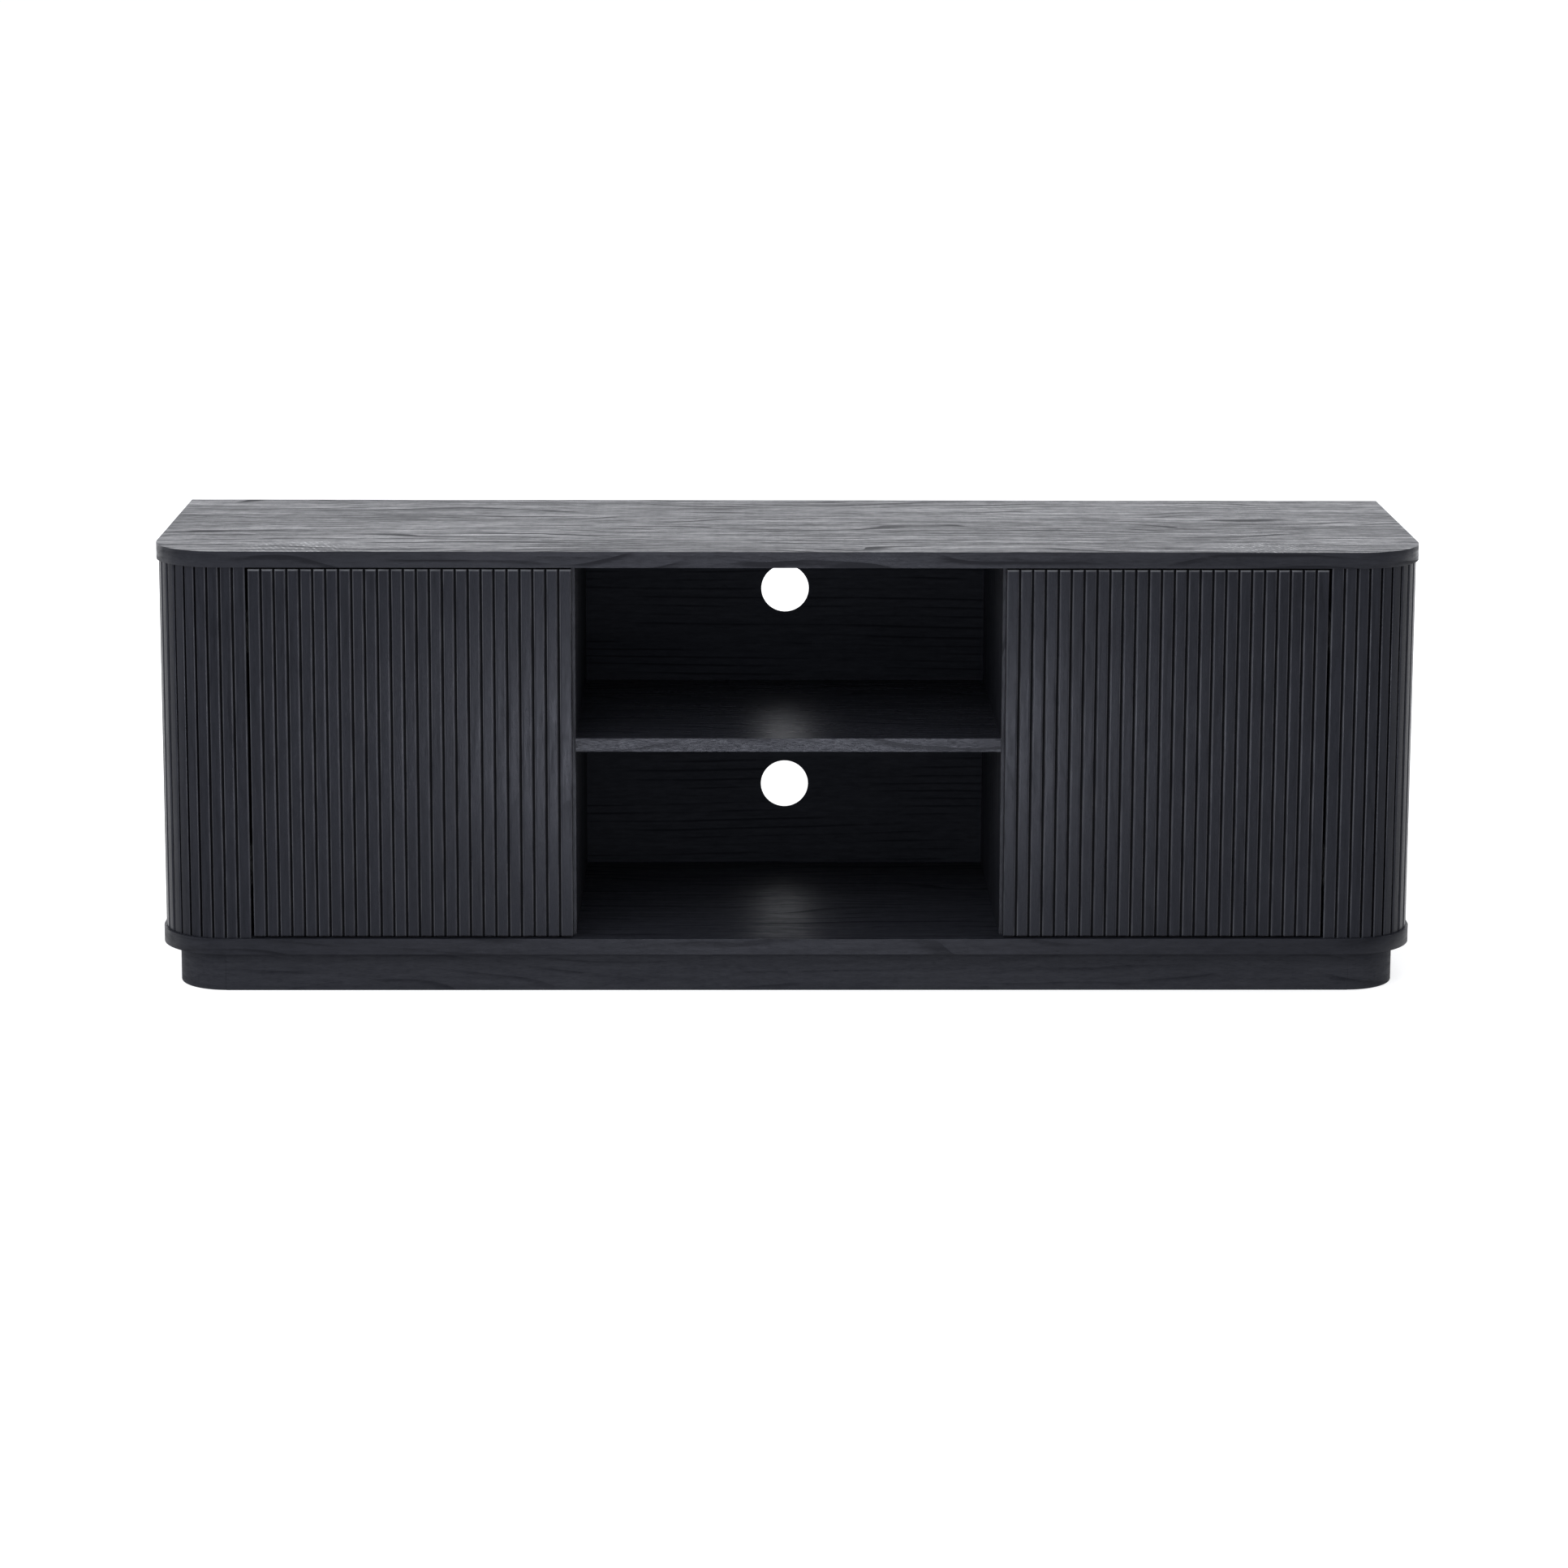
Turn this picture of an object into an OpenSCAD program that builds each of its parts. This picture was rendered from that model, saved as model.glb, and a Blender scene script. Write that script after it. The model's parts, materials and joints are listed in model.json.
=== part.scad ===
/* [Overall] */
// Width of the top panel from side to side
cabinet_width = 1500; // [1300:10:1900]
// Depth of the top panel from front to back
cabinet_depth = 400; // [340:5:520]
// Clear height between the base panel and the top panel
bay_height = 447; // [370:1:560]
// Clear width of the open bay in the middle
bay_width = 504; // [380:2:640]

/* [Panels] */
// Thickness of the top and base panels
panel_thickness = 19; // [16:0.5:25]
// Radius of the rounded front corners of the top and base panels
corner_radius = 80; // [70:1:110]
// How far the top and base panels stand proud of the flutes
panel_overhang = 3; // [1:0.5:6]
// Thickness of the upright boards, shelves and plinth boards
board_thickness = 16; // [14:0.5:20]
// Thickness of the back panels
back_thickness = 4; // [3:0.5:6]
// Depth of the recess behind the back panels
back_inset = 16; // [8:1:40]
// Depth of the grooves that hold the back panels
back_groove = 5; // [3:0.5:6]

/* [Flutes] */
// Pitch that the flutes are spaced to, as nearly as the doors allow
flute_pitch = 15.1; // [12:0.1:20]
// Width of the groove between two flutes
groove_width = 2.4; // [1.5:0.1:4]
// Depth of the groove between two flutes
groove_depth = 4; // [2:0.1:4.5]
// Radius of the flutes' long edges
shoulder_radius = 2.2; // [1:0.1:3]
// Thickness of the fluted skin round the ends, over its flutes
skin_thickness = 9; // [8:0.5:12]
// Length of fixed flutes between a door and the start of the rounded corner
front_return = 33; // [20:1:60]
// Thickness of the blocks that the skin is bent round
former_thickness = 18; // [12:1:30]
// Number of those blocks in each corner
former_count = 4; // [2:1:6]

/* [Doors] */
// Thickness of a door over its flutes
leaf_thickness = 18; // [17:0.5:22]
// Edge of the divider left showing beside a door
door_reveal = 3.5; // [1:0.5:8]
// Gap between a door and the fixed flutes beside it
door_side_gap = 3.2; // [3:0.1:6]
// Gap above and below a door
door_end_gap = 2.3; // [1.5:0.1:5]
// Gap behind a door, in front of the divider
door_back_gap = 2; // [1.5:0.1:4]
// Radius of the flutes' ends at the top and bottom of a door
leaf_end_radius = 1.8; // [0.5:0.1:2]

/* [Shelves] */
// Clear height of the open bay under its shelf
lower_bay_height = 222; // [150:1:260]
// How far the open bay's shelf stands back from the dividers' front edges
shelf_setback = 2; // [0:0.5:20]
// Side clearance of the shelves behind the doors
shelf_clearance = 1; // [0.5:0.1:2]
// Radius of a shelf pin
shelf_pin_radius = 2.5; // [2:0.1:3]
// Length of a shelf pin, half of it in the board
shelf_pin_length = 16; // [12:1:20]
// Distance from a shelf pin to the end of the shelf it carries
shelf_pin_setback = 35; // [20:1:60]
// Spacing of the shelf pin holes
shelf_pin_pitch = 32; // [25:1:40]
// Number of shelf pin holes in each row
shelf_pin_holes = 5; // [1:2:5]

/* [Cable holes] */
// Radius of the two cable holes in the open bay's back panel
cable_hole_radius = 30; // [20:1:40]
// Height of the lower cable hole's centre above the base panel
lower_hole_height = 103; // [50:1:110]
// Height of the upper cable hole's centre above the shelf
upper_hole_height = 118; // [50:1:120]

/* [Plinth] */
// Height of the plinth
plinth_height = 49; // [45:1:100]
// How far the plinth stands back from the front and side edges of the base panel
plinth_inset = 19.5; // [10:0.5:40]
// How far the plinth stands back from the rear edge of the base panel
plinth_back_inset = 30; // [0:1:60]
// Leg length of the angle brackets inside the plinth
bracket_leg = 30; // [24:1:36]
// Width of the angle brackets
bracket_width = 20; // [15:1:30]
// Thickness of the angle brackets' steel
bracket_steel = 2; // [1.5:0.5:3]

/* [Hinges] */
// Distance from a door's outer edge in to the hinge axis
hinge_setback = 16; // [15:0.5:18]
// Distance from the front of the flutes back to the hinge axis
hinge_depth = 11; // [10.5:0.1:11.5]
// Distance from the top or bottom of a door to a hinge's middle
hinge_end = 80; // [50:1:110]
// Radius of the hinge cup
cup_radius = 17.5; // [17:0.1:18]
// Depth of the hinge cup in the door
cup_depth = 11.5; // [11:0.1:11.8]
// Width of the door left between its outer edge and a hinge cup
cup_edge = 4.5; // [3:0.1:6]
// Wall thickness of the hinge cup
cup_wall = 1; // [0.8:0.1:1.2]
// Radius of the hinge pin
hinge_pin_radius = 1.25; // [1:0.05:1.5]
// Radial running clearance between the hinge pin and its knuckle
hinge_pin_clearance = 0.05; // [0.02:0.01:0.1]
// Outer radius of the knuckle round the hinge pin
knuckle_radius = 2.8; // [2.5:0.1:3]
// Width of the hinge arm
arm_width = 10; // [8:0.5:14]
// Thickness of the hinge arm and of its mounting plate
arm_thickness = 3; // [2:0.1:3.2]
// Distance that the arm leads in from the hinge axis before it turns back
arm_reach = 13.5; // [12:0.1:14]
// Length of the arm and of its plate along the stile
arm_seat = 38; // [30:1:45]
// Height of the hinge's mounting plate
plate_height = 50; // [44:1:60]
// Spacing of the screws in a hinge's mounting plate
plate_screw_spacing = 32; // [28:1:36]
// Spacing of the screws beside a hinge cup
cup_screw_spacing = 48; // [46:1:52]

/* [Latches] */
// Width of a push latch's body, across the compartment
latch_width = 16; // [14:1:20]
// Length of a push latch's body, from front to back
latch_length = 60; // [50:1:80]
// Height of a push latch's body
latch_height = 40; // [36:1:50]
// How far a latch's body stands back from the divider's front edge
latch_setback = 3; // [2.5:0.5:8]
// Radius of a latch's plunger
plunger_radius = 4; // [3:0.1:5]
// Length of a plunger inside the latch's body
plunger_length = 36; // [20:1:40]
// Thickness of the closed end of a latch's body
latch_end_wall = 8; // [3:1:9]
// Radial clearance round a plunger
plunger_clearance = 0.3; // [0.3:0.05:0.6]
// Gap between a plunger's tip and its strike plate with the door shut
plunger_gap = 0.3; // [0.2:0.05:0.6]
// Thickness of the steel strike plate on a door
strike_thickness = 1; // [0.6:0.1:1.2]

/* [Fasteners] */
// Radius of a cam lock's bore
cam_radius = 7.5; // [6:0.5:7.5]
// Depth of a cam lock's bore
cam_depth = 12.5; // [11:0.5:13]
// Height of a cam lock's centre above the joint it closes
cam_height = 24; // [20:1:34]
// Radial clearance round a cam lock
cam_clearance = 0.1; // [0.05:0.05:0.3]
// Distance of the cam locks from the ends of a board's edge
cam_setback = 50; // [35:1:70]
// Radius of a dowel
dowel_radius = 4; // [3:0.5:4]
// Length of a dowel
dowel_length = 30; // [25:1:35]
// Depth that a dowel enters the panel or board it stands in
dowel_seat = 10; // [8:0.5:11]
// Distance of a dowel from its neighbouring cam lock
dowel_offset = 32; // [25:1:40]
// Radius of the wood screws
screw_radius = 1.75; // [1.5:0.05:2]
// Radius of a wood screw's head
screw_head_radius = 3.4; // [3:0.1:3.6]
// Height of a wood screw's head
screw_head_height = 1.6; // [1:0.1:2]
// Depth that a wood screw goes into a board
screw_depth = 11; // [8:0.5:11]

/* [Hidden] */
$fn = 48;
large_arc_steps = 96;
board_colour = "#1d1f22";
edge_colour = "#24262a";
flute_colour = "#191b1e";
steel_colour = "#b9bcc0";
zinc_colour = "#9fa2a6";
plastic_colour = "#6f7276";
beech_colour = "#c9a877";
cut = 1;

half_width = cabinet_width / 2;
front_y = -cabinet_depth / 2;
rear_y = cabinet_depth / 2;
corner_x = half_width - corner_radius;
corner_y = front_y + corner_radius;
base_top = plinth_height + panel_thickness;
top_bottom = base_top + bay_height;

crest_y = front_y + panel_overhang;
crest_radius = corner_radius - panel_overhang;
skin_radius = crest_radius - skin_thickness;
skin_back = crest_y + skin_thickness;
fixed_x = corner_x - front_return;
corner_length = crest_radius * PI / 2;
skin_length = front_return + corner_length + rear_y - corner_y;

divider_x = bay_width / 2;
divider_outer = divider_x + board_thickness;
side_outer = corner_x + skin_radius;
side_inner = side_outer - board_thickness;
stile_outer = fixed_x + board_thickness;
stile_length = corner_radius;
stile_rear = skin_back + stile_length;

back_y = rear_y - back_inset - back_thickness;
groove_slack = 0.5;

door_inner = divider_x + door_reveal;
door_outer = fixed_x - door_side_gap;
door_width = door_outer - door_inner;
door_height = bay_height - 2 * door_end_gap;
door_bottom = base_top + door_end_gap;
leaf_back = crest_y + leaf_thickness;
carcase_front = leaf_back + door_back_gap;
door_flutes = round(door_width / flute_pitch);
pitch = door_width / door_flutes;
skin_grooves = floor((skin_length - groove_width) / pitch);

shelf_bottom = base_top + lower_bay_height;
shelf_top = shelf_bottom + board_thickness;
shelf_front = carcase_front + shelf_setback;
inner_shelf_front = stile_rear + shelf_clearance;
inner_shelf_bottom = base_top + (bay_height - board_thickness) / 2;
cable_hole_heights = [base_top + lower_hole_height, shelf_top + upper_hole_height];

plinth_front_y = front_y + plinth_inset;
plinth_rear_y = rear_y - plinth_back_inset;
plinth_side_x = half_width - plinth_inset;
plinth_radius = corner_radius - plinth_inset;
bracket_x = (divider_outer + corner_x) / 2;

axis_x = door_outer - hinge_setback;
axis_y = crest_y + hinge_depth;
cup_x = door_outer - cup_edge - cup_radius;
swing_radius = norm([hinge_setback, leaf_thickness - hinge_depth]);
arm_clearance = 5;
arm_back_y = axis_y + swing_radius + arm_clearance;
hinge_heights = [door_bottom + hinge_end, door_bottom + door_height - hinge_end];
flange_thickness = 1.5;
flange_rim = 2.5;
flange_wing = 12;

latch_x = divider_outer + latch_width / 2;
latch_z = base_top + bay_height / 2;
latch_front = carcase_front + latch_setback;
latch_screw_end = 6;
latch_screw_spacing = latch_height - 2 * latch_screw_end;
plunger_tip = leaf_back + strike_thickness + plunger_gap;
strike_margin = 1;
strike_width = latch_width - 2 * strike_margin;
strike_height = latch_height;

bolt_seat = 11;
bolt_radius = 2.5;
bolt_shank_radius = 3;
bolt_head_radius = 3.5;
bolt_bore_radius = 4;
bolt_head_rise = 1;
bolt_top = cam_height + bolt_head_rise;
cam_slot_depth = 1.5;
cam_slot_width = 1.4;

// Both ends of the cabinet, from geometry drawn on the +X side.
module both_sides() {
    for (side = [0, 1]) mirror([side, 0, 0]) children();
}

// Waste beside a rounded edge: the edge is at the origin and its land runs to +x.
module edge_waste(radius) {
    difference() {
        translate([-cut, -radius]) square([radius + cut, radius + cut]);
        translate([radius, -radius]) circle(r = radius);
    }
}

// Section of one groove between flutes, cut down from y = 0.
module groove_section() {
    translate([-groove_width / 2, -groove_depth]) square([groove_width, groove_depth + cut]);
    translate([groove_width / 2, 0]) edge_waste(shoulder_radius);
    mirror([1, 0]) translate([groove_width / 2, 0]) edge_waste(shoulder_radius);
}

// Places a section at a distance along the fixed flutes, from the door gap to the rear.
module along_skin(distance) {
    turn = (distance - front_return) / crest_radius * 180 / PI;
    if (distance < front_return)
        translate([fixed_x + distance, crest_y]) rotate(180) children();
    else if (turn < 90)
        translate([corner_x + crest_radius * sin(turn), corner_y - crest_radius * cos(turn)])
            rotate(180 + turn) children();
    else
        translate([corner_x + crest_radius, corner_y + distance - front_return - corner_length])
            rotate(270) children();
}

// Outline of the top and base panels: square at the rear, rounded at the front.
module panel_outline() {
    translate([-half_width, corner_y]) square([cabinet_width, cabinet_depth - corner_radius]);
    translate([-corner_x, front_y]) square([2 * corner_x, corner_radius + cut]);
    for (side = [-1, 1])
        translate([side * corner_x, corner_y]) circle(r = corner_radius, $fn = large_arc_steps);
}

// Space for a back panel between two uprights, running into the grooves all round.
module back_space(left, right, slack) {
    reach = back_groove - groove_slack + slack;
    translate([left - reach, back_y, base_top - reach])
        cube([right - left + 2 * reach, back_thickness, bay_height + 2 * reach]);
}

module back_grooves() {
    back_space(-divider_x, divider_x, groove_slack);
    both_sides() back_space(divider_outer, side_inner, groove_slack);
}

// Cam lock positions: x runs into the board from its face, z into it from the joint.
module at_cams() {
    both_sides() for (end = [0, 1]) {
        translate([0, 0, base_top + end * bay_height]) mirror([0, 0, end]) {
            for (y = [carcase_front + cam_setback, back_y - cam_setback])
                translate([divider_outer, y, 0]) mirror([1, 0, 0]) children();
            for (y = [corner_y + cam_setback, back_y - cam_setback])
                translate([side_inner, y, 0]) children();
        }
    }
}

// Dowel positions: z runs into the piece that takes the longer end.
module at_dowels() {
    at_cams() translate([board_thickness / 2, dowel_offset, 0]) children();
    both_sides() for (end = [0, 1]) {
        translate([fixed_x + board_thickness / 2, skin_back + stile_length / 2,
                   base_top + end * bay_height]) mirror([0, 0, end]) children();
    }
    both_sides() for (y = [shelf_front + cam_setback, back_y - cam_setback])
        translate([divider_x, y, shelf_bottom + board_thickness / 2]) rotate([0, -90, 0]) children();
}

module dowel_shape() {
    translate([0, 0, -dowel_seat]) cylinder(r = dowel_radius, h = dowel_length);
}

// Bores that the joining hardware needs in the boards and panels.
module joint_bores() {
    at_dowels() dowel_shape();
    at_cams() {
        translate([-cut, 0, cam_height]) rotate([0, 90, 0])
            cylinder(r = cam_radius, h = cam_depth + cut);
        translate([board_thickness / 2, 0, 0]) cylinder(r = bolt_bore_radius, h = bolt_top + cut);
        translate([board_thickness / 2, 0, -bolt_seat]) cylinder(r = bolt_radius, h = bolt_seat + cut);
    }
}

// Shelf pin positions behind one door, for a hole count above and below the shelf.
module at_shelf_pins(holes) {
    for (y = [inner_shelf_front + shelf_pin_setback, back_y - shelf_pin_setback])
        for (row = [-(holes - 1) / 2 : (holes - 1) / 2]) {
            z = inner_shelf_bottom - shelf_pin_radius + row * shelf_pin_pitch;
            translate([divider_outer, y, z]) rotate([0, 90, 0]) children();
            translate([side_inner, y, z]) rotate([0, -90, 0]) children();
        }
}

module shelf_pin() {
    cylinder(r = shelf_pin_radius, h = shelf_pin_length, center = true);
}

// A wood screw at the origin, its head on z = 0 and its point downwards.
module wood_screw(depth) {
    cylinder(r = screw_head_radius, h = screw_head_height);
    translate([0, 0, -depth]) cylinder(r = screw_radius, h = depth);
}

module top_panel() {
    color(board_colour) difference() {
        translate([0, 0, top_bottom]) linear_extrude(panel_thickness) panel_outline();
        back_grooves();
        joint_bores();
    }
}

module base_panel() {
    color(board_colour) difference() {
        translate([0, 0, plinth_height]) linear_extrude(panel_thickness) panel_outline();
        back_grooves();
        joint_bores();
        plinth_screws_shape();
    }
}

module right_divider() {
    color(board_colour) difference() {
        translate([divider_x, carcase_front, base_top])
            cube([board_thickness, rear_y - carcase_front, bay_height]);
        back_grooves();
        joint_bores();
        at_shelf_pins(shelf_pin_holes) shelf_pin();
        latch_screws_shape();
    }
}

module right_side_panel() {
    color(board_colour) difference() {
        translate([side_inner, corner_y, base_top])
            cube([board_thickness, rear_y - corner_y, bay_height]);
        back_grooves();
        joint_bores();
        at_shelf_pins(shelf_pin_holes) shelf_pin();
    }
}

module right_hinge_stile() {
    color(board_colour) difference() {
        translate([fixed_x, skin_back, base_top]) cube([board_thickness, stile_length, bay_height]);
        joint_bores();
        plate_screws_shape();
    }
}

// Fluted skin of one end: front return, rounded corner and side, in one bent piece.
module right_fluted_end() {
    color(flute_colour) translate([0, 0, base_top]) linear_extrude(bay_height) difference() {
        union() {
            translate([fixed_x, crest_y]) square([front_return, skin_thickness]);
            translate([side_outer, corner_y]) square([skin_thickness, rear_y - corner_y]);
            intersection() {
                translate([corner_x, corner_y]) difference() {
                    circle(r = crest_radius, $fn = large_arc_steps);
                    circle(r = skin_radius, $fn = large_arc_steps);
                }
                translate([corner_x, crest_y - cut]) square([crest_radius + cut, crest_radius + cut]);
            }
        }
        for (number = [1 : skin_grooves]) along_skin(number * pitch) groove_section();
        translate([fixed_x, crest_y]) mirror([0, 1]) edge_waste(shoulder_radius);
    }
}

// Blocks that fill the rounded corner between the stile, the side panel and the skin.
module right_corner_formers() {
    step = (bay_height - former_thickness) / (former_count - 1);
    color(beech_colour) for (number = [0 : former_count - 1])
        translate([0, 0, base_top + number * step]) linear_extrude(former_thickness) {
            translate([stile_outer, skin_back]) square([corner_x - stile_outer, skin_radius]);
            intersection() {
                translate([corner_x, corner_y]) circle(r = skin_radius, $fn = large_arc_steps);
                translate([corner_x, skin_back]) square(skin_radius);
            }
        }
}

module centre_back_panel() {
    color(board_colour) difference() {
        back_space(-divider_x, divider_x, 0);
        for (z = cable_hole_heights)
            translate([0, back_y - cut, z]) rotate([-90, 0, 0])
                cylinder(r = cable_hole_radius, h = back_thickness + 2 * cut, $fn = large_arc_steps);
    }
}

module right_back_panel() {
    color(board_colour) back_space(divider_outer, side_inner, 0);
}

module centre_shelf() {
    color(edge_colour) difference() {
        translate([-divider_x, shelf_front, shelf_bottom])
            cube([bay_width, back_y - shelf_front, board_thickness]);
        joint_bores();
    }
}

module right_inner_shelf() {
    color(board_colour)
        translate([divider_outer + shelf_clearance, inner_shelf_front, inner_shelf_bottom])
            cube([side_inner - divider_outer - 2 * shelf_clearance,
                  back_y - shelf_clearance - inner_shelf_front, board_thickness]);
}

module right_shelf_pins() {
    color(steel_colour) at_shelf_pins(1) shelf_pin();
}

module plinth_front() {
    color(edge_colour) difference() {
        translate([-corner_x, plinth_front_y, 0]) cube([2 * corner_x, board_thickness, plinth_height]);
        plinth_screws_shape();
    }
}

module plinth_back() {
    width = 2 * (plinth_side_x - board_thickness);
    color(edge_colour) difference() {
        translate([-width / 2, plinth_rear_y - board_thickness, 0])
            cube([width, board_thickness, plinth_height]);
        plinth_screws_shape();
    }
}

module plinth_right_side() {
    color(edge_colour) translate([plinth_side_x - board_thickness, corner_y, 0])
        cube([board_thickness, plinth_rear_y - corner_y, plinth_height]);
}

module plinth_right_corner() {
    color(edge_colour) linear_extrude(plinth_height) intersection() {
        translate([corner_x, corner_y]) difference() {
            circle(r = plinth_radius, $fn = large_arc_steps);
            circle(r = plinth_radius - board_thickness, $fn = large_arc_steps);
        }
        translate([corner_x, corner_y - plinth_radius - cut]) square(plinth_radius + cut);
    }
}

module plinth_cross_rails() {
    length = plinth_rear_y - plinth_front_y - 2 * board_thickness;
    color(edge_colour) both_sides() translate([divider_x, plinth_front_y + board_thickness, 0])
        cube([board_thickness, length, plinth_height]);
}

// Bracket positions: x runs into the plinth's space from its board, z down from the base panel.
module at_brackets() {
    for (x = [-bracket_x, 0, bracket_x]) {
        translate([x, plinth_front_y + board_thickness, plinth_height]) rotate(90) children();
        translate([x, plinth_rear_y - board_thickness, plinth_height]) rotate(-90) children();
    }
}

module plinth_screws_shape() {
    middle = bracket_steel + (bracket_leg - bracket_steel) / 2;
    at_brackets() {
        translate([middle, 0, -bracket_steel]) mirror([0, 0, 1]) wood_screw(screw_depth);
        translate([bracket_steel, 0, -middle]) rotate([0, 90, 0]) wood_screw(screw_depth);
    }
}

module plinth_brackets() {
    color(steel_colour) difference() {
        at_brackets() rotate([90, 0, 0]) linear_extrude(bracket_width, center = true) {
            translate([0, -bracket_steel]) square([bracket_leg, bracket_steel]);
            translate([0, -bracket_leg]) square([bracket_steel, bracket_leg]);
        }
        plinth_screws_shape();
    }
}

module plinth_screws() {
    color(zinc_colour) plinth_screws_shape();
}

module cam_locks() {
    thickness = cam_depth - cam_clearance;
    color(zinc_colour) at_cams() difference() {
        translate([0, 0, cam_height]) rotate([0, 90, 0])
            cylinder(r = cam_radius - cam_clearance, h = thickness);
        translate([board_thickness / 2, 0, 0])
            cylinder(r = bolt_bore_radius, h = cam_height + bolt_head_radius / 2);
        translate([0, 0, cam_height])
            cube([2 * cam_slot_depth, cam_radius, cam_slot_width], center = true);
    }
}

module cam_bolts() {
    color(steel_colour) at_cams() translate([board_thickness / 2, 0, 0]) {
        translate([0, 0, -bolt_seat]) cylinder(r = bolt_radius, h = bolt_seat);
        cylinder(r = bolt_shank_radius, h = cam_height);
        translate([0, 0, cam_height - bolt_head_radius])
            cylinder(r = bolt_head_radius, h = bolt_head_radius + bolt_head_rise);
    }
}

module dowels() {
    color(beech_colour) at_dowels() dowel_shape();
}

// Waste at a long edge of the door, along its top or bottom.
module leaf_end_waste() {
    translate([door_inner - cut, crest_y, 0]) mirror([0, 1, 0]) rotate([0, 90, 0])
        linear_extrude(door_width + 2 * cut) edge_waste(leaf_end_radius);
}

module right_door_leaf() {
    color(flute_colour) difference() {
        translate([0, 0, door_bottom]) linear_extrude(door_height) difference() {
            translate([door_inner, crest_y]) square([door_width, leaf_thickness]);
            for (number = [1 : door_flutes - 1])
                translate([door_inner + number * pitch, crest_y]) mirror([0, 1]) groove_section();
            translate([door_inner, crest_y]) mirror([0, 1]) edge_waste(shoulder_radius);
            translate([door_outer, crest_y]) rotate(180) edge_waste(shoulder_radius);
        }
        translate([0, 0, door_bottom + door_height]) leaf_end_waste();
        translate([0, 0, door_bottom]) mirror([0, 0, 1]) leaf_end_waste();
        at_cups() translate([0, 0, -cup_depth]) cylinder(r = cup_radius, h = cup_depth + cut);
        cup_screws_shape();
    }
}

// Hinge cup positions: z points backwards, out of the cup's mouth, and y runs along the axis.
module at_cups() {
    for (z = hinge_heights) translate([cup_x, leaf_back, z]) rotate([-90, 0, 0]) children();
}

module hinge_pin_shape(radius, length) {
    for (z = hinge_heights) translate([axis_x, axis_y, z])
        cylinder(r = radius, h = length, center = true);
}

module cup_screws_shape() {
    at_cups() for (end = [-1, 1])
        translate([0, end * cup_screw_spacing / 2, flange_thickness]) wood_screw(screw_depth);
}

module right_hinge_cups() {
    wing = cup_screw_spacing + flange_wing;
    color(steel_colour) difference() {
        at_cups() difference() {
            union() {
                translate([0, 0, -cup_depth]) cylinder(r = cup_radius, h = cup_depth);
                cylinder(r = cup_radius + flange_rim, h = flange_thickness);
                translate([-flange_wing / 2, -wing / 2, 0]) cube([flange_wing, wing, flange_thickness]);
            }
            translate([0, 0, cup_wall - cup_depth])
                cylinder(r = cup_radius - cup_wall, h = cup_depth + flange_thickness);
        }
        hinge_pin_shape(hinge_pin_radius, 2 * cup_radius);
        cup_screws_shape();
    }
}

module right_hinge_pins() {
    offset_x = axis_x - cup_x;
    inner_half = sqrt(pow(cup_radius - cup_wall, 2) - pow(offset_x, 2));
    color(zinc_colour) hinge_pin_shape(hinge_pin_radius, 2 * (inner_half + cup_wall / 2));
}

module right_cup_screws() {
    color(zinc_colour) cup_screws_shape();
}

// Arm in plan: in from the pin, back past the door's edge, across to the stile and along it.
module arm_plan() {
    seat_x = fixed_x - arm_thickness;
    lead_x = axis_x - arm_reach - arm_thickness / 2;
    translate([lead_x, axis_y - arm_thickness / 2]) square([axis_x - lead_x, arm_thickness]);
    translate([lead_x, axis_y - arm_thickness / 2])
        square([arm_thickness, arm_back_y + arm_thickness - axis_y + arm_thickness / 2]);
    translate([lead_x, arm_back_y]) square([seat_x - lead_x, arm_thickness]);
    translate([seat_x - arm_thickness, arm_back_y]) square([arm_thickness, arm_seat]);
    translate([axis_x, axis_y]) circle(r = knuckle_radius);
}

module right_hinge_arms() {
    color(steel_colour) difference() {
        for (z = hinge_heights) translate([0, 0, z])
            linear_extrude(arm_width, center = true) arm_plan();
        hinge_pin_shape(hinge_pin_radius + hinge_pin_clearance, 2 * arm_width);
    }
}

module plate_screws_shape() {
    for (z = hinge_heights) for (end = [-1, 1])
        translate([fixed_x - arm_thickness, arm_back_y + arm_seat / 2, z + end * plate_screw_spacing / 2])
            rotate([0, -90, 0]) wood_screw(screw_depth + arm_thickness);
}

module right_hinge_plates() {
    color(steel_colour) difference() {
        for (z = hinge_heights)
            translate([fixed_x - arm_thickness, arm_back_y, z - plate_height / 2])
                cube([arm_thickness, arm_seat, plate_height]);
        plate_screws_shape();
    }
}

module right_plate_screws() {
    color(zinc_colour) plate_screws_shape();
}

module right_strike_plate() {
    color(steel_colour)
        translate([latch_x - strike_width / 2, leaf_back, latch_z - strike_height / 2])
            cube([strike_width, strike_thickness, strike_height]);
}

module latch_screws_shape() {
    for (end = [-1, 1])
        translate([divider_outer + latch_width, latch_front + latch_length / 2,
                   latch_z + end * latch_screw_spacing / 2])
            rotate([0, 90, 0]) wood_screw(screw_depth + latch_width);
}

module right_latch_body() {
    color(plastic_colour) difference() {
        translate([divider_outer, latch_front, latch_z - latch_height / 2])
            cube([latch_width, latch_length, latch_height]);
        translate([latch_x, latch_front - cut, latch_z]) rotate([-90, 0, 0])
            cylinder(r = plunger_radius + plunger_clearance, h = latch_length - latch_end_wall + cut);
        latch_screws_shape();
    }
}

module right_latch_plunger() {
    color(steel_colour) translate([latch_x, plunger_tip, latch_z]) rotate([-90, 0, 0])
        cylinder(r = plunger_radius, h = latch_front - plunger_tip + plunger_length);
}

module latch_screws() {
    color(zinc_colour) both_sides() latch_screws_shape();
}

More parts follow.
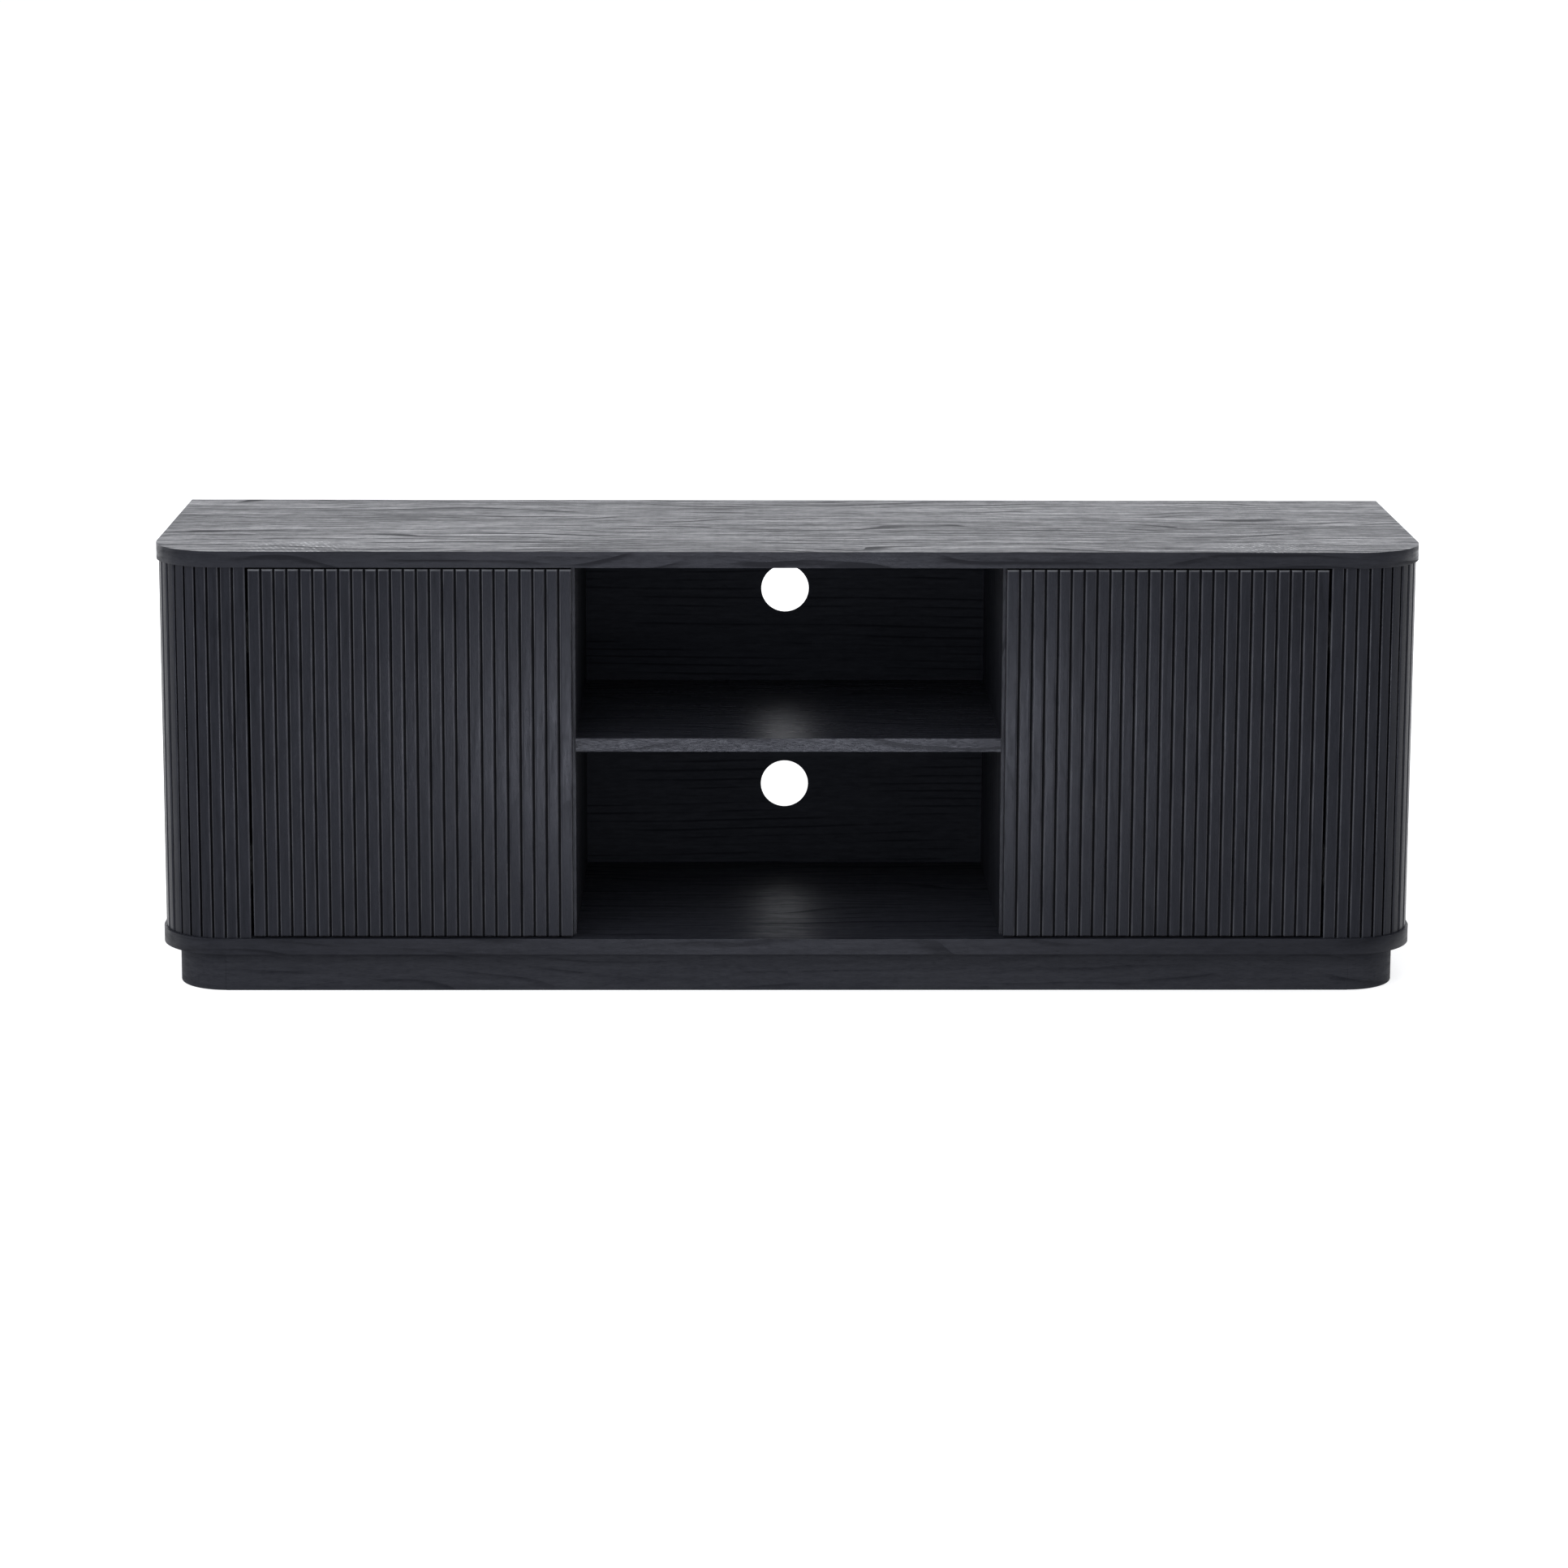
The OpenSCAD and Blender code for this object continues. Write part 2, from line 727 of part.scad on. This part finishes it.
top_panel();
base_panel();
mirror([1, 0, 0]) right_divider();  // left_divider
right_divider();
mirror([1, 0, 0]) right_side_panel();  // left_side_panel
right_side_panel();
mirror([1, 0, 0]) right_fluted_end();  // left_fluted_end
right_fluted_end();
mirror([1, 0, 0]) right_hinge_stile();  // left_hinge_stile
right_hinge_stile();
mirror([1, 0, 0]) right_corner_formers();  // left_corner_formers
right_corner_formers();
centre_back_panel();
mirror([1, 0, 0]) right_back_panel();  // left_back_panel
right_back_panel();
centre_shelf();
mirror([1, 0, 0]) right_inner_shelf();  // left_inner_shelf
right_inner_shelf();
mirror([1, 0, 0]) right_shelf_pins();  // left_shelf_pins
right_shelf_pins();
plinth_front();
plinth_back();
mirror([1, 0, 0]) plinth_right_side();  // plinth_left_side
plinth_right_side();
mirror([1, 0, 0]) plinth_right_corner();  // plinth_left_corner
plinth_right_corner();
plinth_cross_rails();
plinth_brackets();
plinth_screws();
cam_locks();
cam_bolts();
dowels();
mirror([1, 0, 0]) right_door_leaf();  // left_door_leaf
right_door_leaf();
mirror([1, 0, 0]) right_hinge_cups();  // left_hinge_cups
right_hinge_cups();
mirror([1, 0, 0]) right_hinge_pins();  // left_hinge_pins
right_hinge_pins();
mirror([1, 0, 0]) right_cup_screws();  // left_cup_screws
right_cup_screws();
mirror([1, 0, 0]) right_hinge_arms();  // left_hinge_arms
right_hinge_arms();
mirror([1, 0, 0]) right_hinge_plates();  // left_hinge_plates
right_hinge_plates();
mirror([1, 0, 0]) right_plate_screws();  // left_plate_screws
right_plate_screws();
mirror([1, 0, 0]) right_strike_plate();  // left_strike_plate
right_strike_plate();
mirror([1, 0, 0]) right_latch_body();  // left_latch_body
right_latch_body();
mirror([1, 0, 0]) right_latch_plunger();  // left_latch_plunger
right_latch_plunger();
latch_screws();
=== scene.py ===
import json
import math

import bpy
from mathutils import Matrix, Vector


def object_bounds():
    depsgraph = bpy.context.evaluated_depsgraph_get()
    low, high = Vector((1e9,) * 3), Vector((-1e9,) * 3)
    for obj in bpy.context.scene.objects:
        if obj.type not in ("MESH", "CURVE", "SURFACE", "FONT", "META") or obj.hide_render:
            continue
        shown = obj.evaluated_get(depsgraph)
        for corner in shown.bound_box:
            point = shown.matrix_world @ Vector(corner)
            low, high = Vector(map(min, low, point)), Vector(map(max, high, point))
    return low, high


# ---------------------------------------------------------------- frame
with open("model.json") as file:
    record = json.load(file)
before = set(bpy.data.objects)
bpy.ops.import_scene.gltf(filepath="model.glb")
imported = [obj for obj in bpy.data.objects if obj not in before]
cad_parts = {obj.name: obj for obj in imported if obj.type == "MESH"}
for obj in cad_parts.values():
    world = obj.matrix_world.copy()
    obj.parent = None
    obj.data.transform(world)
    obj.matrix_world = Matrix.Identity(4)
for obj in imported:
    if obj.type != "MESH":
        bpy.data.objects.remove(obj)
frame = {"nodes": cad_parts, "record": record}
cad_low, cad_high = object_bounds()
nodes = frame["nodes"]
slots = {part["node"]: part["material_slot"] for part in frame["record"]["subparts"]}

# ---------------------------------------------------------------- camera: metres, degrees, mm
CAMERA_PLACE = (-0.0674, -4.8495, 1.3098)
CAMERA_YAW = -0.7508
CAMERA_PITCH = 9.425
CAMERA_ROLL = 0.1866
CAMERA_LENS = 92.573
CAMERA_SHIFT = -0.15
SENSOR = 36.0

# ---------------------------------------------------------------- light
STUDIO_WHITE = (0.955, 0.965, 1.0)
WORLD_STRENGTH = 1.06

# ---------------------------------------------------------------- sizes in metres
ARRIS = 0.0007
FRONT = cad_low[1]
SIDE = cad_high[0]
CORNER_RADIUS = 0.080
OVERHANG = 0.003
GROOVE_DEPTH = 0.004
DOOR_OUTER = 0.6338
DOOR_TOP = 0.5127
PLINTH_TOP = 0.049
FLOOR_SIZE = 40
FLOOR_GAP = 0.0002

# A surface whose direction's Z is past this counts as level.
LEVEL = 0.7

# ---------------------------------------------------------------- colours, linear
EDGE_DARK = (0.0012, 0.0014, 0.0028)
EDGE_LIGHT = (0.0110, 0.0116, 0.0152)
PLINTH_DARK = (0.0060, 0.0064, 0.0088)
PLINTH_LIGHT = (0.0262, 0.0273, 0.0325)
# Level faces are painted lighter than upright ones of the same foil, as painted light falling on
# them.
LIT_FACE_DARK = (0.0070, 0.0076, 0.0105)
LIT_FACE_LIGHT = (0.0230, 0.0240, 0.0300)
FLUTE_DARK = (0.0022, 0.0025, 0.0042)
FLUTE_LIGHT = (0.0105, 0.0112, 0.0150)
# Painted shade for the bottoms of the flutes' grooves.
GROOVE_SHADE = (0.0008, 0.0009, 0.0016)
# Rubbing and painted highlight on the flutes' shoulders.
WORN_AND_HIGHLIGHT = (0.0850, 0.0870, 0.0970)
# Rubbing and painted highlight on the upper ends of the door flutes.
WORN_END_AND_HIGHLIGHT = (0.1050, 0.1080, 0.1170)
BACK_DARK = (0.0080, 0.0089, 0.0120)
BACK_LIGHT = (0.0210, 0.0228, 0.0290)
SHEEN_TINT = (0.88, 0.90, 1.0, 1.0)
BEECH_DARK = (0.40, 0.26, 0.14)
BEECH_LIGHT = (0.62, 0.45, 0.28)


# ---------------------------------------------------------------- material helpers
class Graph:
    """A material's node tree, with short calls for the nodes that are used often."""

    def __init__(self, name):
        self.material = bpy.data.materials.new(name)
        self.material.use_nodes = True
        self.tree = self.material.node_tree
        self.shader = self.tree.nodes["Principled BSDF"]

    def node(self, kind, **values):
        made = self.tree.nodes.new(kind)
        for key, value in values.items():
            setattr(made, key, value)
        return made

    def put(self, socket, value):
        """Links a socket to a node's output, or sets it to a plain value."""
        if isinstance(value, bpy.types.NodeSocket):
            self.tree.links.new(value, socket)
        else:
            socket.default_value = value

    def math(self, operation, a, b=0.0, c=0.0):
        made = self.node("ShaderNodeMath", operation=operation)
        for socket, value in zip(made.inputs, (a, b, c)):
            self.put(socket, value)
        return made.outputs[0]

    def own(self, which):
        """X, Y and Z of the object's own place in metres ("Object") or direction ("Normal")."""
        coordinates = self.node("ShaderNodeTexCoord")
        split = self.node("ShaderNodeSeparateXYZ")
        self.put(split.inputs[0], coordinates.outputs[which])
        return split.outputs

    def place(self):
        return self.own("Object")

    def facing(self):
        return self.own("Normal")

    def product(self, *factors):
        made = factors[0]
        for factor in factors[1:]:
            made = self.math("MULTIPLY", made, factor)
        return made

    def field(self, along, across, length, width, seed=0.0, detail=2.0, rough=0.5):
        """Noise whose patches are about `length` long and `width` wide, around 0.5."""
        joined = self.node("ShaderNodeCombineXYZ")
        self.put(joined.inputs[0], self.math("MULTIPLY", along, 1.0 / length))
        self.put(joined.inputs[1], self.math("MULTIPLY", across, 1.0 / width))
        joined.inputs[2].default_value = seed
        made = self.node("ShaderNodeTexNoise")
        self.put(made.inputs["Vector"], joined.outputs[0])
        made.inputs["Scale"].default_value = 1.0
        made.inputs["Detail"].default_value = detail
        made.inputs["Roughness"].default_value = rough
        return made.outputs["Fac"]

    def ramp(self, value, low, high, out_low=0.0, out_high=1.0, smooth=False):
        made = self.node("ShaderNodeMapRange")
        if smooth:
            made.interpolation_type = "SMOOTHSTEP"
        self.put(made.inputs["Value"], value)
        made.inputs["From Min"].default_value = low
        made.inputs["From Max"].default_value = high
        made.inputs["To Min"].default_value = out_low
        made.inputs["To Max"].default_value = out_high
        return made.outputs["Result"]

    def blend(self, factor, a, b):
        made = self.node("ShaderNodeMix", data_type="RGBA")
        self.put(made.inputs["Factor"], factor)
        sockets = [s for s in made.inputs if s.type == "RGBA"]
        for socket, colour in zip(sockets, (a, b)):
            self.put(socket, colour if isinstance(colour, bpy.types.NodeSocket) else (*colour, 1.0))
        return next(s for s in made.outputs if s.type == "RGBA")

    def bump(self, height, distance):
        made = self.node("ShaderNodeBump")
        self.put(made.inputs["Height"], height)
        made.inputs["Strength"].default_value = 1.0
        made.inputs["Distance"].default_value = distance
        self.put(self.shader.inputs["Normal"], made.outputs["Normal"])


# ---------------------------------------------------------------- how grain runs over a board
def grain_lengthwise(g):
    """Grain along X: across it is Y on the faces and Z on the edges, followed round the corners."""
    at = g.place()
    flat = g.math("GREATER_THAN", g.math("ABSOLUTE", g.facing()["Z"]), LEVEL)
    upright = g.math("SUBTRACT", 1.0, flat)
    behind = g.math("MULTIPLY", g.math("SIGN", at["X"]), g.math("SUBTRACT", at["Y"], FRONT))
    along = g.math("ADD", at["X"], g.math("MULTIPLY", behind, upright))
    across = g.math("ADD", g.math("MULTIPLY", at["Y"], flat), g.math("MULTIPLY", at["Z"], upright))
    return along, across, flat


def grain_upright(g):
    """Grain along Z, and across it the distance out from the middle and back."""
    at = g.place()
    other_side = g.math("MULTIPLY", g.math("SIGN", at["X"]), 3.7)
    across = g.math("ADD", g.math("ABSOLUTE", at["X"]), g.math("ADD", at["Y"], other_side))
    return at["Z"], across, 0.0


def grain_on_back(g):
    """Grain along X on an upright panel that faces the front."""
    at = g.place()
    return at["X"], at["Z"], 1.0


# ---------------------------------------------------------------- wood
def growth_rings(g, along, across, pitch, sway, length, width, seed):
    """Lines of late wood, 1 on a line, which bend round into long pointed figures."""
    bend = g.field(along, across, length, width, seed, 1.5, 0.4)
    phase = g.math("ADD", g.math("MULTIPLY", across, 1.0 / pitch), g.math("MULTIPLY", bend, sway))
    line = g.ramp(g.math("FRACT", phase), 0.68, 0.97, smooth=True)
    strength = g.ramp(g.field(along, across, 0.16, 0.035, seed + 3.1, 1.0), 0.44, 0.62)
    return g.math("MULTIPLY", line, strength)


def wood(name, grain, face, edge, rough, ior, seed=0.0,
         ring=0.7, streak=1.1, fleck=0.8, pore=0.3, cloud=0.3,
         pitch=0.020, sway=7.0, length=0.36, width=0.10, streak_size=(0.20, 0.009),
         relief=0.00012, ticks=0.0, grooves=False, tone_lift=0.0, dark_above=0.0):
    """Wood grain: growth rings, long streaks and fine pores, in tone, sheen and relief.

    face and edge are pairs of a dark and a light colour, for a board's level faces and for its
    upright faces and edges; the level faces' pair is lighter, as painted light falling on them.
    ring, streak, fleck, pore and cloud say how strongly each shows in the tone."""
    g = Graph(name)
    along, across, flat = grain(g)
    rings = growth_rings(g, along, across, pitch, sway, length, width, seed)
    streaks = g.field(along, across, *streak_size, seed + 1.3, 6.0, 0.72)
    pores = g.ramp(g.field(along, across, 0.009, 0.00035, seed + 5.0, 1.0), 0.53, 0.66)
    flecks = g.field(along, across, 0.020, 0.004, seed + 9.4, 2.0)
    clouds = g.field(along, across, 0.45, 0.07, seed + 7.7, 2.0)
    tone = g.math("MULTIPLY_ADD", g.math("SUBTRACT", streaks, 0.5), streak, 0.60 + tone_lift)
    tone = g.math("MULTIPLY_ADD", g.math("SUBTRACT", clouds, 0.5), cloud, tone)
    tone = g.math("MULTIPLY_ADD", g.math("SUBTRACT", flecks, 0.5), fleck, tone)
    tone = g.math("MULTIPLY_ADD", rings, -ring, tone)
    tone = g.math("MULTIPLY_ADD", pores, -pore, tone)
    if ticks:
        tone = g.math("MULTIPLY_ADD", cross_ticks(g), ticks, tone)
    tone = g.ramp(tone, 0.0, 1.0)
    # Painted light: level faces take the lighter pair of colours.
    dark = g.blend(flat, edge[0], face[0])
    light = g.blend(flat, edge[1], face[1])
    colour = g.blend(tone, dark, light)
    # Painted shadow: the plinth is darkened towards its top, under the base's overhang.
    if dark_above:
        colour = g.blend(painted_shadow_band(g, dark_above), colour, edge[0])
    roughness = g.ramp(tone, 0.0, 1.0, rough[1], rough[0])
    if grooves:
        depth = depth_in_flutes(g)
        mask = groove_shade_and_matte_mask(g, depth)
        # Painted highlight along with wear: the flutes' shoulders are painted much lighter.
        colour = g.blend(shoulder_wear_and_highlight(g, depth, along, across), colour, WORN_AND_HIGHLIGHT)
        # Painted highlight along with wear: the flutes' top ends are painted much lighter.
        colour = g.blend(end_wear_and_highlight(g, depth, along, across), colour, WORN_END_AND_HIGHLIGHT)
        # Painted shade: the groove bottoms are painted near black.
        colour = g.blend(mask, colour, GROOVE_SHADE)
        roughness = g.math("MAXIMUM", roughness, g.math("MULTIPLY", mask, 0.8))
    g.put(g.shader.inputs["Base Color"], colour)
    g.put(g.shader.inputs["Roughness"], roughness)
    g.shader.inputs["IOR"].default_value = ior
    g.shader.inputs["Specular Tint"].default_value = SHEEN_TINT
    g.bump(tone, relief)
    return g.material


def depth_in_flutes(g):
    """Distance in from the flutes' crests, in metres, round the corners as well."""
    at = g.place()
    from_middle = g.math("ABSOLUTE", at["X"])
    out_x = g.math("MAXIMUM", g.math("SUBTRACT", from_middle, SIDE - CORNER_RADIUS), 0.0)
    out_y = g.math("MAXIMUM", g.math("SUBTRACT", FRONT + CORNER_RADIUS, at["Y"]), 0.0)
    squares = g.math("MULTIPLY_ADD", out_x, out_x, g.math("MULTIPLY", out_y, out_y))
    return g.math("SUBTRACT", CORNER_RADIUS - OVERHANG, g.math("SQRT", squares))


def groove_shade_and_matte_mask(g, depth):
    """1 in the bottom of the grooves between the flutes, 0 on the flutes and behind them. It paints
    the groove bottoms near black as painted shade, and makes them matte.
    """
    inside = g.ramp(depth, 0.35 * GROOVE_DEPTH, 0.6 * GROOVE_DEPTH)
    behind = g.ramp(depth, 1.05 * GROOVE_DEPTH, 1.15 * GROOVE_DEPTH, 1.0, 0.0)
    return g.math("MULTIPLY", inside, behind)


def shoulder_wear_and_highlight(g, depth, along, across):
    """Rubbed edges and painted highlight: the flutes' rounded shoulders are painted much lighter,
    unevenly, and less near the corners.
    """
    start = g.ramp(depth, 0.00002, 0.0006)
    stop = g.ramp(depth, 0.0009, 0.0019, 1.0, 0.0)
    uneven = g.ramp(g.field(along, across, 0.05, 0.006, 12.0, 3.0), 0.35, 0.6, 0.2, 0.6)
    out = g.math("ABSOLUTE", g.place()["X"])
    off_corner = g.ramp(out, SIDE - CORNER_RADIUS, SIDE - 0.3 * CORNER_RADIUS, 1.0, 0.25)
    return g.product(start, stop, uneven, off_corner)


def end_wear_and_highlight(g, depth, along, across):
    """Rubbing and painted highlight: the upper ends of the flutes on the doors, between the
    grooves, painted much lighter.
    """
    at = g.place()
    on_door = g.math("LESS_THAN", g.math("ABSOLUTE", at["X"]), DOOR_OUTER + 0.0005)
    high = g.ramp(at["Z"], DOOR_TOP - 0.0026, DOOR_TOP - 0.0014)
    in_front = g.ramp(depth, 0.0010, 0.0020, 1.0, 0.0)
    uneven = g.ramp(g.field(across, along, 0.02, 0.004, 15.0, 2.0), 0.35, 0.6, 0.4, 1.0)
    return g.product(high, on_door, in_front, uneven)


def painted_shadow_band(g, height):
    """Painted shadow: a darker band that starts softly at a height and is fullest 9 mm above it,
    standing in for the shade under the base's overhang.
    """
    return g.ramp(g.place()["Z"], height, height + 0.009, 0.0, 0.85, smooth=True)


def cross_ticks(g):
    """Patches of short light marks across the grain, near the front at both ends."""
    at = g.place()
    slant = g.math("MULTIPLY_ADD", at["Y"], 0.35, at["X"])
    mark = g.ramp(g.math("PINGPONG", slant, 0.0035), 0.0014, 0.0030, smooth=True)
    from_end = g.math("ABSOLUTE", g.math("SUBTRACT", g.math("ABSOLUTE", at["X"]), 0.575))
    near_end = g.ramp(from_end, 0.03, 0.085, 1.0, 0.0, smooth=True)
    near_front = g.ramp(at["Y"], FRONT + 0.045, FRONT + 0.085, 1.0, 0.0, smooth=True)
    broken = g.ramp(g.field(at["X"], at["Y"], 0.012, 0.007, 2.0, 3.0), 0.46, 0.62)
    upward = g.math("GREATER_THAN", g.facing()["Z"], LEVEL)
    return g.product(mark, near_end, near_front, broken, upward)


LIT_FACE = (LIT_FACE_DARK, LIT_FACE_LIGHT)
EDGE = (EDGE_DARK, EDGE_LIGHT)
FLUTES = (FLUTE_DARK, FLUTE_LIGHT)
BACKING = (BACK_DARK, BACK_LIGHT)
BEECH = (BEECH_DARK, BEECH_LIGHT)
PLINTH = (PLINTH_DARK, PLINTH_LIGHT)


def foil_lengthwise(name, seed, rough, edge=EDGE, ior=1.24, **values):
    return wood(name, grain_lengthwise, LIT_FACE, edge, rough, ior, seed, **values)


def foil_upright(name, seed):
    return wood(name, grain_upright, EDGE, EDGE, (0.36, 0.6), 1.30, seed)


def flute_foil():
    return wood("black_flute_foil", grain_upright, FLUTES, FLUTES, (0.20, 0.42), 1.22, 4.0,
                ring=0.25, streak=1.6, cloud=0.6, streak_size=(0.10, 0.005), relief=0.00006,
                grooves=True)


def back_board(name, seed):
    return wood(name, grain_on_back, BACKING, BACKING, (0.75, 0.95), 1.15, seed,
                ring=0.9, streak=0.7, pore=0.2, pitch=0.011, sway=3.0, length=0.7, relief=0.00006)


def bare_beech():
    return wood("bare_beech", grain_upright, BEECH, BEECH, (0.55, 0.7), 1.45, 9.0)


# ---------------------------------------------------------------- metal and plastic
def plated_steel(name, colour, rough):
    g = Graph(name)
    at = g.place()
    around = g.math("ADD", at["X"], at["Y"])
    brushed = g.field(around, at["Z"], 0.02, 0.0011, 1.0, 3.0)
    cloud = g.field(around, at["Z"], 0.017, 0.017, 5.0, 2.0)
    worn = tuple(0.78 * value for value in colour)
    g.put(g.shader.inputs["Base Color"], g.blend(g.ramp(cloud, 0.3, 0.7), worn, colour))
    g.put(g.shader.inputs["Roughness"], g.ramp(brushed, 0.3, 0.7, rough - 0.06, rough + 0.1))
    g.shader.inputs["Metallic"].default_value = 1.0
    g.bump(brushed, 0.00002)
    return g.material


def moulded_plastic(name, colour):
    g = Graph(name)
    at = g.place()
    around = g.math("ADD", at["X"], at["Y"])
    spark = g.field(around, at["Z"], 0.0008, 0.0008, 1.0, 2.0)
    cloud = g.field(around, at["Z"], 0.02, 0.02, 5.0, 2.0)
    pale = tuple(1.25 * value for value in colour)
    g.put(g.shader.inputs["Base Color"], g.blend(g.ramp(cloud, 0.3, 0.7), colour, pale))
    g.put(g.shader.inputs["Roughness"], g.ramp(spark, 0.3, 0.7, 0.42, 0.62))
    g.bump(spark, 0.00004)
    return g.material


# ---------------------------------------------------------------- materials on the CAD nodes
top_foil = foil_lengthwise("black_ash_top", 0.0, (0.22, 0.66), ior=1.27, ring=1.1,
                           streak=1.7, ticks=0.4)
base_foil = foil_lengthwise("black_ash_base", 11.0, (0.30, 0.58))
# Painted highlight: the shelves' foil is a lighter copy of the black ash, lifted for the bright
# front edge of the centre shelf.
shelf_foil = foil_lengthwise("black_ash_shelf", 17.0, (0.24, 0.42), tone_lift=0.1)
# The plinth's top band is a painted shadow under the base's overhang.
plinth_foil = foil_lengthwise("black_ash_plinth", 23.0, (0.50, 0.70), PLINTH, 1.14,
                              ring=0.3, streak=0.7, fleck=0.5,
                              dark_above=PLINTH_TOP - 0.010)
upright_foil = foil_upright("black_ash_upright", 31.0)
BY_NODE = {
    "top_panel": top_foil,
    "base_panel": base_foil,
    "centre_shelf": shelf_foil,
    "left_inner_shelf": shelf_foil,
    "right_inner_shelf": shelf_foil,
    "centre_back_panel": back_board("black_back_centre", 41.0),
    "left_back_panel": back_board("black_back_left", 47.0),
    "right_back_panel": back_board("black_back_right", 53.0),
}
BY_SLOT = {
    "black_board": upright_foil,
    "black_flutes": flute_foil(),
    "beech": bare_beech(),
    "steel": plated_steel("nickel_steel", (0.62, 0.63, 0.65), 0.28),
    "zinc": plated_steel("zinc_plate", (0.50, 0.51, 0.53), 0.36),
    "grey_plastic": moulded_plastic("grey_plastic", (0.16, 0.165, 0.17)),
}


def material_of(name):
    if name in BY_NODE:
        return BY_NODE[name]
    if name.startswith("plinth_") and slots[name] == "black_board":
        return plinth_foil
    return BY_SLOT[slots[name]]


def soften(obj, width):
    """Welds the imported mesh and rounds its sharp edges, without touching its own vertices."""
    weld = obj.modifiers.new("weld", "WELD")
    weld.merge_threshold = 1e-6
    bevel = obj.modifiers.new("arris", "BEVEL")
    bevel.width = width
    bevel.segments = 2
    bevel.limit_method = "ANGLE"
    bevel.angle_limit = math.radians(50)
    bevel.harden_normals = True


for name, obj in nodes.items():
    obj.data.materials.clear()
    obj.data.materials.append(material_of(name))
    if slots[name] == "black_board":
        soften(obj, ARRIS)


# ---------------------------------------------------------------- floor, light and camera
def make_floor():
    bpy.ops.mesh.primitive_plane_add(size=FLOOR_SIZE, location=(0, 0, cad_low[2] - FLOOR_GAP))
    floor = bpy.context.object
    floor.name = "studio_floor"
    g = Graph("pale_floor")
    at = g.place()
    cloud = g.field(at["X"], at["Y"], 1.2, 1.2)
    g.put(g.shader.inputs["Base Color"], g.blend(cloud, (0.60, 0.60, 0.60), (0.64, 0.64, 0.64)))
    g.shader.inputs["Roughness"].default_value = 0.9
    g.shader.inputs["Specular IOR Level"].default_value = 0.1
    g.shader.inputs["Emission Color"].default_value = (1, 1, 1, 1)
    g.shader.inputs["Emission Strength"].default_value = 0.62
    floor.data.materials.append(g.material)


def make_area(name, place, aim, size, brightness, mirrored=True, spread=True):
    """A rectangular soft light, as bright to look at as `brightness`, a white wall being 1.

    mirrored: it shows in glossy reflections. spread: it lights matt colours."""
    data = bpy.data.lights.new(name, "AREA")
    data.shape = "RECTANGLE"
    data.size, data.size_y = size
    data.energy = brightness * math.pi * size[0] * size[1]
    data.color = STUDIO_WHITE
    lamp = bpy.data.objects.new(name, data)
    bpy.context.collection.objects.link(lamp)
    lamp.location = place
    lamp.rotation_euler = (Vector(aim) - Vector(place)).to_track_quat("-Z", "Y").to_euler()
    lamp.visible_camera = False
    lamp.visible_glossy = mirrored
    lamp.visible_diffuse = spread


def make_world():
    world = bpy.data.worlds.new("studio")
    bpy.context.scene.world = world
    world.use_nodes = True
    background = world.node_tree.nodes["Background"]
    background.inputs["Color"].default_value = (*STUDIO_WHITE, 1)
    background.inputs["Strength"].default_value = WORLD_STRENGTH


def make_camera():
    data = bpy.data.cameras.new("camera")
    data.sensor_width = SENSOR
    data.lens = CAMERA_LENS
    data.shift_y = CAMERA_SHIFT
    camera = bpy.data.objects.new("camera", data)
    bpy.context.collection.objects.link(camera)
    turn = Matrix.Rotation(math.radians(CAMERA_YAW), 4, "Z")
    tilt = Matrix.Rotation(math.radians(90 - CAMERA_PITCH), 4, "X")
    roll = Matrix.Rotation(math.radians(CAMERA_ROLL), 4, "Z")
    camera.matrix_world = Matrix.Translation(CAMERA_PLACE) @ turn @ tilt @ roll
    bpy.context.scene.camera = camera


make_floor()
make_world()
make_area("back_softbox", (0, 3.2, 1.0), (0, 0, 0.5), (7.0, 2.0), 1.05)
make_area("left_softbox", (-2.6, -1.9, 0.6), (0, -0.1, 0.3), (0.7, 1.0), 10.0, mirrored=False)
make_area("overhead_softbox", (-1.0, -2.0, 2.0), (0, -0.2, 0.3), (2.4, 1.0), 3.4)
make_area("low_front_light", (0, -1.2, 0.09), (0, 0, 0.30), (0.7, 0.16), 21.0, spread=False)
make_camera()
bpy.context.scene.view_settings.view_transform = "Standard"
